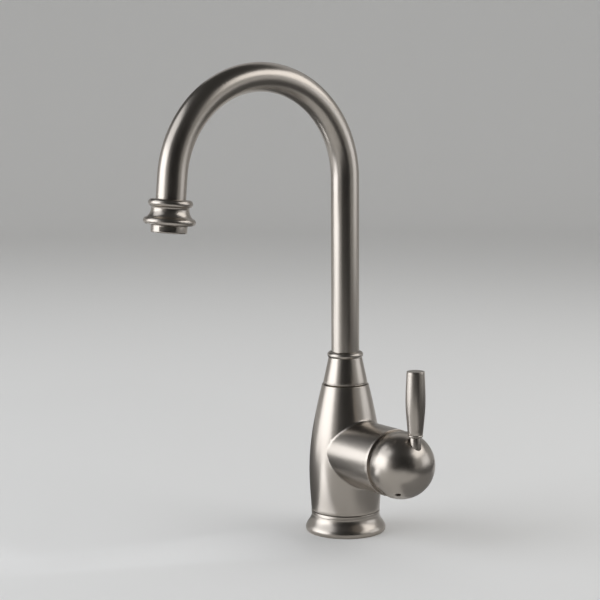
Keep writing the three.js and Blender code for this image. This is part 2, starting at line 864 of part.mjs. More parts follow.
// Room for the square shank, which swings about the pin.
function shankSlot() {
  const half = shankSide / 2;
  const swing = half / Math.cos(flowAngle) + Math.max(shankStart, rotorTop) * Math.tan(flowAngle) + slip;
  const floor = -shankStart * Math.cos(flowAngle) - half * Math.sin(flowAngle) - slip;
  return block(at(-swing, -half - slip, floor), at(swing, half + slip, rotorTop + over));
}

function rotorSeal() {
  return sealRing(rotorRadius - smallSealDepth, rotorBore, -rotorSealSetback);
}

function stemPin() {
  const half = rotorRadius - pinSetback;
  return rod(pinRadius, at(0, -half, 0), at(0, half, 0));
}

// ---------------------------------------------------------------- handle, in the valve's frame

// Square shank, turned at its outer end so that one flat faces the set screw, and a thin inner arm.
function stem() {
  const half = shankSide / 2;
  const shank = block(at(-half, -half, -shankStart), at(half, half, shankTurnStart + over));
  const turnedEnd = block(at(-half, -half, shankTurnStart), at(half, half, shankEnd)).rotateZ(-screwTurn);
  const arm = block(at(-armHalf, -armHalfWidth, -stemArm), at(armHalf, armHalfWidth, 0));
  const tip = rod(tipRadius, at(0, -armHalfWidth, -stemArm), at(0, armHalfWidth, -stemArm));
  const pinHole = rod(pinRadius + slip, at(0, -half - over, 0), at(0, half + over, 0));
  return carved(shank, { joins: [turnedEnd, arm, tip], cuts: [pinHole] });
}

// The ball: a hemisphere, a band that narrows straight to the boss's mouth, and behind it a skirt on
// the same sphere. The skirt is cut askew, so it hides the inside at rest and at full tilt alike.
function handleBall() {
  const back = skirtAngle + skirtOverlap; // as far back as the ball is turned before it is cut
  const ball = turned([
    p(0, -ballRadius * Math.sin(back)),
    ...arc(0, 0, ballRadius, -back, -mouthAngle, 3),
    ...arc(0, 0, ballRadius, 0, Math.PI / 2, 9),
  ]);
  const cavity = turned([
    p(0, -ballRadius),
    ...arc(0, 0, cavityRadius, -back - skirtOverlap, Math.asin(socketFace / cavityRadius), 6),
    p(0, socketFace),
  ], boreSides);
  const skirtPlane = ballRadius * Math.sin(skirtAngle - flowAngle / 2);
  const span = 2 * ballRadius;
  const behind = block(at(-span, -span, -span), at(span, span, -skirtPlane)).rotateY(flowAngle / 2);
  const half = shankSide / 2 + socketClearance;
  const socketLow = at(-half, -half, socketFace - over);
  const socket = block(socketLow, at(half, half, shankEnd + slip)).rotateZ(-screwTurn);
  const screwHole = rod(screwRadius + slip, alongScrew(half - over), alongScrew(ballRadius + over));
  const leverHole = rod(
    studRadius + slip,
    at(neckSeatHeight - studDepth - seat, 0, leverOffset),
    at(ballRadius, 0, leverOffset),
  );
  const neckSeat = rod(
    neckRadius + slip,
    at(neckSeatHeight, 0, leverOffset),
    at(ballRadius, 0, leverOffset),
    boreSides,
  );
  return carved(ball, { cuts: [cavity, behind, socket, screwHole, leverHole, neckSeat] });
}

// A point on the set screw's axis, this far from the handle's axis.
function alongScrew(reach) {
  return at(-reach * Math.cos(screwTurn), reach * Math.sin(screwTurn), screwPlace);
}

function handleSetScrew() {
  const start = shankSide / 2 + seat;
  const end = start + screwLength;
  const socket = rod(screwSocketRadius, alongScrew(end - screwSocketDepth), alongScrew(end + over), 6);
  return carved(rod(screwRadius, alongScrew(start), alongScrew(end)), { cuts: [socket] });
}

// Neck with a threaded stud at each end, along the lever's own axis from the valve's axis.
function leverPost() {
  const foot = neckSeatHeight + seat;
  const top = gripBase - seat;
  return turned(
    [
      p(0, foot - studDepth),
      p(studRadius, foot - studDepth),
      p(studRadius, foot),
      p(neckRadius, foot),
      p(neckRadius, top),
      p(studRadius, top),
      p(studRadius, top + studReach),
      p(0, top + studReach),
    ],
    boreSides,
  );
}

// The barrel: a bead at its foot, a slow swell and a flat chamfered top.
function leverGrip() {
  const top = gripBase + gripLength;
  const boreTop = gripBase + studReach + seat;
  const bead = 2 * gripBead;
  const footBead = arc(gripEndRadius - gripBead, gripBase + bead, bead, -Math.PI / 2, Math.PI / 2, 4);
  return turned(
    [
      p(0, boreTop),
      p(studRadius + slip, boreTop),
      p(studRadius + slip, gripBase),
      ...footBead,
      ...new THREE.SplineCurve([
        p(gripEndRadius, gripBase + 5 * gripBead),
        p(gripBellyRadius, gripBase + gripBellyRise),
        p(gripTopRadius, top - edge),
      ]).getPoints(6),
      p(gripTopRadius - edge, top),
      p(0, top),
    ],
    boreSides,
  );
}

// ---------------------------------------------------------------- materials and assembly

function finish(color, roughness, metalness) {
  return () => new THREE.MeshStandardMaterial({ color, roughness, metalness });
}

const brushedNickel = finish(0xa49a8c, 0.34, 1);
const brass = finish(0xb8964e, 0.4, 1);
const steel = finish(0x9a9ca0, 0.3, 1);
const rubber = finish(0x1c1c1d, 0.85, 0);
const whitePlastic = finish(0xe4e2da, 0.5, 0);
const greyPlastic = finish(0x6c7075, 0.55, 0);
const ceramic = finish(0xf1ece1, 0.25, 0);

function piece(name, geometry, material) {
  const mesh = new THREE.Mesh(geometry, material());
  mesh.name = name;
  return mesh;
}

function base() {
  return [
    piece('base_flange', baseFlange(), brushedNickel),
    piece('base_gasket', baseGasket(), rubber),
    piece('body_casting', bodyCasting(), brushedNickel),
    piece('swivel_washer', swivelWasher(), whitePlastic),
  ];
}

function spout() {
  return [
    piece('swivel_spigot', swivelSpigot(), brass),
    piece('swivel_oring_lower', swivelSeal(0), rubber),
    piece('swivel_oring_upper', swivelSeal(1), rubber),
    piece('swivel_guide_ring', swivelGuideRing(), whitePlastic),
    piece('retaining_ring', retainingRing(), steel),
    piece('spout_collar', spoutCollar(), brushedNickel),
    piece('spout_tube', spoutTube(), brushedNickel),
    spoutEnd(),
  ];
}

// The nozzle and aerator hang on the end of the tube, with z along the water's way.
function spoutEnd() {
  const end = new THREE.Group();
  end.position.copy(new Gooseneck(shoulderTop, archTail).getPoint(1));
  end.rotation.x = archSweep;
  end.add(
    piece('nozzle', nozzle(), brushedNickel),
    piece('aerator_gasket', aeratorGasket(), rubber),
    piece('aerator_housing', aeratorHousing(), brushedNickel),
    piece('aerator_insert', aeratorInsert(), greyPlastic),
  );
  return end;
}

function valve() {
  const group = new THREE.Group();
  group.applyMatrix4(valveFrame);
  group.add(
    piece('port_seal', portSeal(), rubber),
    piece('cartridge_base', cartridgeBase(), whitePlastic),
    piece('cartridge_oring', cartridgeSeal(), rubber),
    piece('fixed_disc', fixedDisc(), ceramic),
    piece('moving_disc', movingDisc(), ceramic),
    piece('disc_carrier', discCarrier(), greyPlastic),
    piece('cartridge_housing', cartridgeHousing(), whitePlastic),
    piece('cartridge_nut', cartridgeNut(), brass),
    piece('cartridge_rotor', cartridgeRotor(), greyPlastic),
    piece('rotor_oring', rotorSeal(), rubber),
    piece('stem_pin', stemPin(), steel),
    piece('stem', stem(), steel),
    piece('handle_ball', handleBall(), brushedNickel),
    piece('handle_set_screw', handleSetScrew(), steel),
    lever(),
  );
  return group;
}

// The lever stands on the ball, with z up along its own axis.
function lever() {
  const group = new THREE.Group();
  group.position.z = leverOffset;
  group.rotation.y = Math.PI / 2;
  group.add(
    piece('lever_post', leverPost(), brushedNickel),
    piece('lever_grip', leverGrip(), brushedNickel),
  );
  return group;
}

const faucet = new THREE.Group();
faucet.name = 'gooseneck_bar_faucet';
faucet.add(...base(), ...spout(), valve());

export default faucet;
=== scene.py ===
"""Looks of a gooseneck bar faucet in brushed nickel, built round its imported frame. Metres, +Z up."""

import json
from math import asin, atan2, cos, degrees, pi, radians, sin, sqrt

import bmesh
import bpy
from mathutils import Matrix, Vector
from mathutils.bvhtree import BVHTree
from mathutils.geometry import interpolate_bezier


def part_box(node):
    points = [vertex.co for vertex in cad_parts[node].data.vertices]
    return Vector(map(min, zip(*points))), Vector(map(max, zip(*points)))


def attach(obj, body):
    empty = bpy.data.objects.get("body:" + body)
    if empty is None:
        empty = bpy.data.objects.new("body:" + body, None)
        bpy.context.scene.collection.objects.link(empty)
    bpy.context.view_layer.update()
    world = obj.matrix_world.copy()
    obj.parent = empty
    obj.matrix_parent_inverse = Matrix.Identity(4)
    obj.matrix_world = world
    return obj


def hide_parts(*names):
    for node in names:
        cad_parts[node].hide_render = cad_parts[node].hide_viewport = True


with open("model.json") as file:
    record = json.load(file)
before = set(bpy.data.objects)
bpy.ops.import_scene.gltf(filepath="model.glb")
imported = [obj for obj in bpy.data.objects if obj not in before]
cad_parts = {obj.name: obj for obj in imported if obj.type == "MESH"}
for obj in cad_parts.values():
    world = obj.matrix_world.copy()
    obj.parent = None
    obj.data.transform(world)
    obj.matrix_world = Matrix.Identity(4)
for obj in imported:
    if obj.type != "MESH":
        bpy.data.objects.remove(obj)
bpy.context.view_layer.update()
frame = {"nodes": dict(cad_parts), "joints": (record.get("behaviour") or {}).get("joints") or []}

# ------------------------------------------------------------------ sizes, in metres

MM = 0.001

# From the frame
tube_low, tube_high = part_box("spout_tube")
_, body_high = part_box("body_casting")
_, ball_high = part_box("handle_ball")
_, flange_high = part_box("base_flange")
grip_low, grip_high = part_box("lever_grip")
pivot = Vector(next(joint["pos_m"] for joint in frame["joints"] if joint["name"] == "handle_flow"))

TUBE_RADIUS = tube_high[0]
BODY_TOP = body_high[2]
BOSS_REACH = body_high[0]
FLANGE_HEIGHT = flange_high[2]
FLANGE_LIP = flange_high[0]
BALL_RADIUS = ball_high[0] - pivot.x
GRIP_BASE = grip_low[2] - pivot.z
GRIP_TOP = grip_high[2] - pivot.z
LEVER_OFFSET = (grip_low[0] + grip_high[0]) / 2 - pivot.x

# Shared by the pieces
SEAT = 0.3 * MM  # gap between pieces that seat on each other
EDGE = 0.4 * MM  # rounding of an edge
OVER = 1 * MM  # how far a cut starts outside the face that it opens

# Gooseneck
ARCH_RADIUS = 67.7 * MM
ARCH_HEIGHT = tube_high[2] - TUBE_RADIUS - ARCH_RADIUS
ARCH_SWEEP = radians(174.8)
ARCH_TAIL = 16.7 * MM  # straight tube from the arch to the nozzle's upper bead
TUBE_SOCKET = 5 * MM  # how deep the tube sits in the nozzle
NOZZLE_END = 13.6 * MM  # from the upper bead's middle

# Body
RIM_RADIUS = 16.1 * MM
RIM_ROUND = 0.6 * MM
BELLY_RADIUS = 24.9 * MM
BELLY_HEIGHT = 42 * MM
FOOT_RADIUS = 20.5 * MM
FOOT_JOINT_RADIUS = 23.5 * MM
BOSS_RADIUS = 22.5 * MM
MOUTH_RADIUS = 21.4 * MM
BOSS_FILLET = 2 * MM
WASHER_RADIUS = 13.2 * MM  # of the washer's recesses in body and collar

# Handle
BALL_STAND_OUT = pivot.x - BOSS_REACH
BALL_WALL = 2.25 * MM
CAVITY_RADIUS = BALL_RADIUS - BALL_WALL
FLOW_ANGLE = radians(20)
SKIRT_OVERLAP = radians(4)  # what stays in the boss's mouth at full flow
SKIRT_ANGLE = asin(BALL_STAND_OUT / BALL_RADIUS) + SKIRT_OVERLAP + FLOW_ANGLE
SKIRT_CLEARANCE = 0.7 * MM
SOCKET_FACE = 7.1 * MM  # the flat inside the ball round the stem, from the tilt axis
SCREW_TURN = radians(34)
SCREW_PLACE = 10.6 * MM  # of the set screw, from the tilt axis

# ------------------------------------------------------------------ profiles and solids


def facing(place, way):
    """The frame at a place with its z this way."""
    return Matrix.Translation(place) @ way.to_track_quat("Z", "Y").to_matrix().to_4x4()


def arc(r, z, radius, start, end, steps=8):
    """Points of a round stretch of a profile, with angles from +r towards +z."""
    angles = [start + (end - start) * i / steps for i in range(steps + 1)]
    return [(r + radius * cos(a), z + radius * sin(a)) for a in angles]


def curve(start, start_pull, end_pull, end, steps=16):
    """Points of a cubic curve of a profile."""
    points = [Vector((r, z, 0)) for r, z in (start, start_pull, end_pull, end)]
    return [tuple(point[:2]) for point in interpolate_bezier(*points, steps)]


def made(name, mesh):
    """An object with this bmesh, its faces outwards."""
    bmesh.ops.recalc_face_normals(mesh, faces=mesh.faces)
    data = bpy.data.meshes.new(name)
    mesh.to_mesh(data)
    mesh.free()
    piece = bpy.data.objects.new(name, data)
    bpy.context.scene.collection.objects.link(piece)
    return piece


def turned(name, profile, sides=96, place=Matrix()):
    """A profile of (radius, height) points turned about Z and put in its place."""
    mesh = bmesh.new()
    verts = [mesh.verts.new((r, 0, z)) for r, z in profile]
    edges = [mesh.edges.new(pair) for pair in zip(verts, verts[1:])]
    if profile[0][0] > 0:
        edges.append(mesh.edges.new((verts[-1], verts[0])))
    bmesh.ops.spin(
        mesh, geom=verts + edges, cent=(0, 0, 0), axis=(0, 0, 1), angle=2 * pi, steps=sides, use_merge=True
    )
    bmesh.ops.remove_doubles(mesh, verts=mesh.verts, dist=1e-6)
    mesh.transform(place)
    return made(name, mesh)


def rod(name, radius, start, end, sides=48):
    """A round rod between two points."""
    start, end = Vector(start), Vector(end)
    along = end - start
    place = facing((start + end) / 2, along)
    mesh = bmesh.new()
    bmesh.ops.create_cone(
        mesh, cap_ends=True, segments=sides, radius1=radius, radius2=radius, depth=along.length, matrix=place
    )
    return made(name, mesh)


def block(name, low, high, turn=Matrix()):
    """A box between two corners, then turned."""
    low, high = Vector(low), Vector(high)
    box = Matrix.Translation((low + high) / 2) @ Matrix.Diagonal(high - low).to_4x4()
    mesh = bmesh.new()
    bmesh.ops.create_cube(mesh, matrix=turn @ box)
    return made(name, mesh)


def carve(piece, cutters, operation="DIFFERENCE"):
    """Cuts the cutters from a piece, or joins them to it, and removes them."""
    for cutter in cutters:
        step = piece.modifiers.new(cutter.name, "BOOLEAN")
        step.operation = operation
        step.object = cutter
        step.solver = "EXACT"
    evaluated = piece.evaluated_get(bpy.context.evaluated_depsgraph_get())
    data = bpy.data.meshes.new_from_object(evaluated)
    piece.modifiers.clear()
    piece.data = data
    for cutter in cutters:
        bpy.data.objects.remove(cutter)


def shade(piece, sharp=radians(32)):
    """Smooth shading that keeps corners crisp."""
    mesh = bmesh.new()
    mesh.from_mesh(piece.data)
    for face in mesh.faces:
        face.smooth = True
    for edge in mesh.edges:
        edge.smooth = len(edge.link_faces) == 2 and edge.calc_face_angle() < sharp
    mesh.to_mesh(piece.data)
    mesh.free()


# The valve's frame: x up, y to the front, z out along the handle's axis, from the tilt axis.
valve_frame = Matrix.Translation(pivot) @ Matrix.Rotation(pi, 4, Vector((1, 0, 1)).normalized())

# ------------------------------------------------------------------ base and body


def base_ring():
    """The flared ring on the deck, with the gasket's groove under it."""
    groove_inner, groove_outer, groove_top = 21.7 * MM, 25.7 * MM, 1.4 * MM
    lip, throat = FLANGE_LIP, 23.3 * MM
    lip_top = (lip - 0.5 * MM, 3.9 * MM)
    flare_top = 11.8 * MM
    bore = FOOT_RADIUS + SEAT
    rim = throat + 0.3 * MM
    return turned(
        "base_ring",
        [
            (bore, 0),
            (groove_inner, 0),
            (groove_inner, groove_top),
            (groove_outer, groove_top),
            (groove_outer, 0),
            *curve((lip - 0.6 * MM, 0), (lip + 0.1 * MM, 0.9 * MM), (lip + 0.3 * MM, 2.6 * MM), lip_top),
            *curve(lip_top, (lip - 1.3 * MM, 5.85 * MM), (throat, 8.3 * MM), (throat, flare_top))[1:],
            *arc(throat, flare_top + EDGE, EDGE / 2, -pi / 2, 0, 3)[1:-1],
            (rim - EDGE / 2, flare_top + 1.2 * EDGE),
            *arc(rim - EDGE, FLANGE_HEIGHT - EDGE, EDGE, 0, pi / 2, 4),
            (bore, FLANGE_HEIGHT),
        ],
    )


def bottle():
    """The turned outside of the body, down to the foot inside the base ring."""
    joint = FLANGE_HEIGHT + SEAT
    rim_low = BODY_TOP - RIM_ROUND
    return turned(
        "body",
        [
            (0, 0),
            (FOOT_RADIUS - EDGE, 0),
            (FOOT_RADIUS, EDGE),
            (FOOT_RADIUS, joint),
            *arc(FOOT_JOINT_RADIUS - EDGE, joint + EDGE, EDGE, -pi / 2, 0, 3),
            *curve(
                (FOOT_JOINT_RADIUS, joint + EDGE),
                (FOOT_JOINT_RADIUS + 0.4 * MM, joint + 7.5 * MM),
                (BELLY_RADIUS, BELLY_HEIGHT - 10 * MM),
                (BELLY_RADIUS, BELLY_HEIGHT),
                12,
            )[1:],
            *curve(
                (BELLY_RADIUS, BELLY_HEIGHT),
                (BELLY_RADIUS, BELLY_HEIGHT + 20 * MM),
                (RIM_RADIUS + 5.17 * MM, BODY_TOP - 22 * MM),
                (RIM_RADIUS, rim_low),
                26,
            )[1:],
            *arc(RIM_RADIUS - RIM_ROUND, rim_low, RIM_ROUND, 0, pi / 2, 6)[1:],
            (0, BODY_TOP),
        ],
    )


def body():
    """The bottle and the valve boss in one casting, filleted where they meet and bored for what they hold."""
    piece = bottle()
    end = -BALL_STAND_OUT
    # Rings along the boss, since the shading of long faces is uneven
    rings = [(BOSS_RADIUS, end - EDGE - step * 2.5 * MM) for step in range(18, 0, -1)]
    boss = turned(
        "boss",
        [
            (0, -pivot.x),
            (BOSS_RADIUS, -pivot.x),
            *rings,
            *arc(BOSS_RADIUS - EDGE, end - EDGE, EDGE, 0, pi / 2, 4),
            (0, end),
        ],
        place=valve_frame,
    )
    carve(piece, [boss, boss_fillet(piece)], "UNION")
    chamber_floor, nut_seat = -33.9 * MM, -23.5 * MM
    cartridge_bore, nut_bore = 12.7 * MM, 14.3 * MM
    recess = -BALL_RADIUS * sin(SKIRT_ANGLE) - SKIRT_CLEARANCE
    chamber = turned(
        "chamber",
        [
            (0, chamber_floor),
            (cartridge_bore, chamber_floor),
            (cartridge_bore, nut_seat),
            (nut_bore, nut_seat),
            (nut_bore, recess),
            (MOUTH_RADIUS, recess),
            (MOUTH_RADIUS, end - EDGE),
            *arc(MOUTH_RADIUS + EDGE, end - EDGE, EDGE, pi, pi / 2, 4)[1:],
            (MOUTH_RADIUS + EDGE, end + OVER),
            (0, end + OVER),
        ],
        place=valve_frame,
    )
    bore, bore_floor = 11.5 * MM, 73.6 * MM
    washer_seat = BODY_TOP - 1.6 * MM
    spigot_bore = turned(
        "spigot_bore",
        [
            (0, bore_floor),
            (bore, bore_floor),
            (bore, washer_seat),
            (WASHER_RADIUS, washer_seat),
            (WASHER_RADIUS, BODY_TOP + OVER),
            (0, BODY_TOP + OVER),
        ],
    )
    hose_x, hose_y, hose_radius, hose_depth = 7 * MM, 7.5 * MM, 4.5 * MM, 14 * MM
    hose_sockets = [
        rod("hose_socket", hose_radius, (hose_x, y, -OVER), (hose_x, y, hose_depth)) for y in (-hose_y, hose_y)
    ]
    stud_x, stud_radius, stud_depth = -11 * MM, 3.4 * MM, 12 * MM
    stud_socket = rod("stud_socket", stud_radius, (stud_x, 0, -OVER), (stud_x, 0, stud_depth))
    carve(piece, [chamber, spigot_bore, *hose_sockets, stud_socket])
    return piece


def boss_fillet(bottle_piece):
    """The ring that a ball leaves when it rolls round the inner corner between bottle and boss."""
    steps, arc_steps, halvings = 192, 8, 30
    bury, depth = 0.03 * MM, 1 * MM  # how far its edges and its back lie inside the metal
    mesh = bmesh.new()
    mesh.from_mesh(bottle_piece.data)
    skin = BVHTree.FromBMesh(mesh)
    mesh.free()

    def clearance(point):
        """How far a point lies outside the bottle."""
        foot, normal, _, gap = skin.find_nearest(point)
        return gap if (point - foot).dot(normal) > 0 else -gap

    mesh = bmesh.new()
    loops = []
    for step in range(steps):
        turn = 2 * pi * step / steps
        way = Vector((0, cos(turn), sin(turn)))
        rim = Vector((0, 0, pivot.z)) + way * (BOSS_RADIUS + BOSS_FILLET)
        inside, outside = 0.0, BOSS_REACH
        for _ in range(halvings):
            middle = (inside + outside) / 2
            if clearance(rim + Vector((middle, 0, 0))) < BOSS_FILLET:
                inside = middle
            else:
                outside = middle
        centre = rim + Vector((outside, 0, 0))
        to_boss = -way
        to_bottle = (skin.find_nearest(centre)[0] - centre).normalized()
        arc_ways = [to_boss.slerp(to_bottle, i / arc_steps) for i in range(arc_steps + 1)]
        points = [centre + towards * BOSS_FILLET for towards in arc_ways]
        points[0] += to_boss * bury
        points[-1] += to_bottle * bury
        halfway = arc_ways[arc_steps // 2]
        corner = BOSS_FILLET / max(halfway.dot(to_boss), 0.5)
        points.append(centre + halfway * (corner + depth))
        verts = [mesh.verts.new(point) for point in points]
        loops.append([mesh.edges.new(pair) for pair in zip(verts, verts[1:] + verts[:1])])
    for loop, following in zip(loops, loops[1:] + loops[:1]):
        bmesh.ops.bridge_loops(mesh, edges=loop + following)
    return made("boss_fillet", mesh)


# ------------------------------------------------------------------ spout


def collar():
    """The cone between body and tube, with a rolled lip."""
    bottom = BODY_TOP + 0.4 * MM
    foot = 15.2 * MM
    shoulder = BODY_TOP + 4.5 * MM
    cone_top = (TUBE_RADIUS + 2 * MM, bottom + 17.6 * MM)
    lip, lip_start = 2.2 * MM, -0.9  # the lip's round, and the angle where it leaves the cone
    lip_centre = (TUBE_RADIUS + 2.7 * MM - lip, cone_top[1] + lip)
    bore = TUBE_RADIUS + SEAT
    return turned(
        "collar",
        [
            (WASHER_RADIUS, bottom),
            *arc(foot - EDGE, bottom + EDGE, EDGE, -pi / 2, pi / 3, 6),
            (foot - 0.5 * EDGE, bottom + 3 * EDGE),
            *curve(
                (foot - 0.5 * EDGE, bottom + 3.2 * EDGE),
                (foot - 1.2 * MM, bottom + 6.5 * MM),
                (cone_top[0] + 1.1 * MM, cone_top[1] - 5.5 * MM),
                cone_top,
                12,
            ),
            *arc(*lip_centre, lip, lip_start, pi / 2, 12),
            (bore, lip_centre[1] + lip),
            (bore, shoulder),
            (WASHER_RADIUS, shoulder),
        ],
    )


def gooseneck():
    """A ring drawn up the riser, spun round the arch and drawn down the tail."""
    sides, riser_steps, arch_steps = 64, 24, 120
    foot = tube_low[2]
    mesh = bmesh.new()
    bmesh.ops.create_circle(mesh, segments=sides, radius=TUBE_RADIUS, matrix=Matrix.Translation((0, 0, foot)))
    ring = list(mesh.edges)
    bmesh.ops.contextual_create(mesh, geom=ring)

    def drawn(edges, way):
        grown = bmesh.ops.extrude_edge_only(mesh, edges=edges)["geom"]
        verts = [item for item in grown if isinstance(item, bmesh.types.BMVert)]
        bmesh.ops.translate(mesh, verts=verts, vec=way)
        grown_edges = [item for item in grown if isinstance(item, bmesh.types.BMEdge)]
        return [edge for edge in grown_edges if all(vert in verts for vert in edge.verts)]

    for _ in range(riser_steps):
        ring = drawn(ring, (0, 0, (ARCH_HEIGHT - foot) / riser_steps))
    verts = list({vert for edge in ring for vert in edge.verts})
    spun = bmesh.ops.spin(
        mesh,
        geom=verts + ring,
        cent=(0, -ARCH_RADIUS, ARCH_HEIGHT),
        axis=(1, 0, 0),
        angle=ARCH_SWEEP,
        steps=arch_steps,
    )["geom_last"]
    ring = [item for item in spun if isinstance(item, bmesh.types.BMEdge)]
    way = Vector((0, -sin(ARCH_SWEEP), cos(ARCH_SWEEP))) * (ARCH_TAIL + TUBE_SOCKET)
    ring = drawn(ring, way)
    bmesh.ops.contextual_create(mesh, geom=ring)
    piece = made("gooseneck", mesh)
    along = piece.data.attributes.new("along", "FLOAT", "POINT")
    for vert, value in zip(piece.data.vertices, along.data):
        value.value = length_along(vert.co)
    return piece


def length_along(point):
    """How far along the tube a point of its skin lies, from the deck."""
    turn = atan2(point.z - ARCH_HEIGHT, point.y + ARCH_RADIUS)
    if turn < 0 and point.y > -ARCH_RADIUS:
        return point.z
    beyond = max(turn % (2 * pi) - ARCH_SWEEP, 0) * ARCH_RADIUS
    return ARCH_HEIGHT + ARCH_RADIUS * min(turn % (2 * pi), ARCH_SWEEP) + beyond


# The spout end's frame: z along the water's way, from the middle of the upper bead.
arch_end = Vector((0, -ARCH_RADIUS * (1 - cos(ARCH_SWEEP)), ARCH_HEIGHT + ARCH_RADIUS * sin(ARCH_SWEEP)))
tail = Vector((0, -sin(ARCH_SWEEP), cos(ARCH_SWEEP))) * ARCH_TAIL
spout_frame = Matrix.Translation(arch_end + tail) @ Matrix.Rotation(ARCH_SWEEP, 4, "X")


def nozzle():
    """The spout's end: two beads with a cove between them, bored for the tube and the aerator."""
    upper_stand, upper_round = 4.6 * MM, 2.5 * MM
    lower_stand, lower_round = 7.1 * MM, 2.3 * MM
    cut_short = 0.3  # each bead's round, in radians, where the cove meets it
    upper = TUBE_RADIUS + upper_stand - upper_round
    lower = TUBE_RADIUS + lower_stand - lower_round
    lower_place = NOZZLE_END - lower_round
    bore = TUBE_RADIUS + SEAT
    waterway = TUBE_RADIUS - 1.2 * MM
    thread, thread_floor = 11 * MM, 6.5 * MM
    return turned(
        "nozzle_end",
        [
            (bore, -upper_round),
            *arc(upper, 0, upper_round, -pi / 2, pi / 2 - cut_short, 16),
            *curve(
                (upper + 0.3 * upper_round, 0.95 * upper_round),
                (TUBE_RADIUS + 1.9 * MM, 3.6 * MM),
                (TUBE_RADIUS + 2.7 * MM, lower_place - 2 * lower_round),
                (lower + 0.1 * MM, lower_place - lower_round),
                16,
            )[1:-1],
            *arc(lower, lower_place, lower_round, -pi / 2 + cut_short, pi / 2, 16),
            (thread, NOZZLE_END),
            (thread, thread_floor),
            (waterway, thread_floor),
            (waterway, TUBE_SOCKET + SEAT),
            (bore, TUBE_SOCKET + SEAT),
        ],
        place=spout_frame,
    )


def aerator_ring():
    """The ring under the nozzle that holds the aerator, with two flats for a wrench."""
    outer, thread, bore, lip = 11.5 * MM, 10.7 * MM, 9.6 * MM, 8.8 * MM
    top, shelf = 8.3 * MM, NOZZLE_END + SEAT
    end = shelf + 4.7 * MM
    edge, lip_height = 0.8 * MM, 1 * MM
    piece = turned(
        "aerator_ring",
        [
            (bore, top),
            (thread, top),
            (thread, shelf),
            (outer - EDGE / 2, shelf),
            (outer, shelf + EDGE / 2),
            *arc(outer - edge, end - edge, edge, 0, pi / 2, 6),
            *arc(lip + EDGE, end - EDGE, EDGE, pi / 2, pi, 4),
            (lip, end - lip_height),
            (bore, end - lip_height),
        ],
        place=spout_frame,
    )
    width, height, first_turn = 10 * MM, 2.9 * MM, radians(37)
    reach = sqrt(outer**2 - (width / 2) ** 2)
    middle = (shelf + end) / 2
    flats = [
        block(
            "wrench_flat",
            (reach, -width, middle - height / 2),
            (outer + OVER, width, middle + height / 2),
            spout_frame @ Matrix.Rotation(first_turn + turn, 4, "Z"),
        )
        for turn in (0, pi)
    ]
    carve(piece, flats)
    return piece


# ------------------------------------------------------------------ handle


def ball():
    """The ball as a hollow cap, its skirt cut off skew, with holes for stem, screw and lever."""
    cut_allowance = radians(4)  # how far the skirt is turned past its end, for the skew cut to take off
    skirt_back = SKIRT_ANGLE + cut_allowance
    seam = -asin(BALL_STAND_OUT / BALL_RADIUS)
    flat = asin(SOCKET_FACE / CAVITY_RADIUS)
    piece = turned(
        "ball",
        [
            *reversed(arc(0, 0, BALL_RADIUS, 0, pi / 2, 28)),
            *reversed(arc(0, 0, BALL_RADIUS, -skirt_back, seam, 10)),
            *arc(0, 0, CAVITY_RADIUS, -skirt_back, flat, 20),
            (0, SOCKET_FACE),
        ],
        place=valve_frame,
    )
    span = 2 * BALL_RADIUS
    skirt_plane = BALL_RADIUS * sin(SKIRT_ANGLE - FLOW_ANGLE / 2)
    skew = valve_frame @ Matrix.Rotation(FLOW_ANGLE / 2, 4, "Y")
    behind = block("behind", (-span, -span, -span), (span, span, -skirt_plane), skew)
    half, socket_top = 4.25 * MM, 13.3 * MM
    turn = valve_frame @ Matrix.Rotation(-SCREW_TURN, 4, "Z")
    socket = block("stem_socket", (-half, -half, SOCKET_FACE - OVER), (half, half, socket_top), turn)
    way = Vector((-cos(SCREW_TURN), sin(SCREW_TURN), 0))

    def along_screw(reach):
        return valve_frame @ (way * reach + Vector((0, 0, SCREW_PLACE)))

    screw_radius, screw_start = 1.8 * MM, 3 * MM
    screw_hole = rod("screw_hole", screw_radius, along_screw(screw_start), along_screw(BALL_RADIUS + OVER))

    def along_lever(rise):
        return valve_frame @ Vector((rise, 0, LEVER_OFFSET))

    stud_radius, stud_start = 2.8 * MM, 6.6 * MM
    neck_radius, neck_seat = 3.75 * MM, 11.5 * MM
    lever_hole = rod("lever_hole", stud_radius, along_lever(stud_start), along_lever(BALL_RADIUS))
    neck_hole = rod("neck_hole", neck_radius, along_lever(neck_seat), along_lever(BALL_RADIUS))
    carve(piece, [behind, socket, screw_hole, lever_hole, neck_hole])
    return piece


lever_frame = Matrix.Translation(pivot + Vector((LEVER_OFFSET, 0, 0)))


def lever_neck():
    """The thin neck under the lever, with a stud at each end."""
    radius, stud = 3.6 * MM, 2.5 * MM
    foot, top = 11.8 * MM, GRIP_BASE - SEAT
    stud_foot, stud_top = foot - 4.6 * MM, top + 9.7 * MM
    return turned(
        "lever_neck",
        [
            (0, stud_foot),
            (stud, stud_foot),
            (stud, foot),
            (radius, foot),
            *arc(radius - EDGE / 2, top - EDGE / 2, EDGE / 2, 0, pi / 2, 3),
            (stud, top),
            (stud, stud_top),
            (0, stud_top),
        ],
        sides=48,
        place=lever_frame,
    )


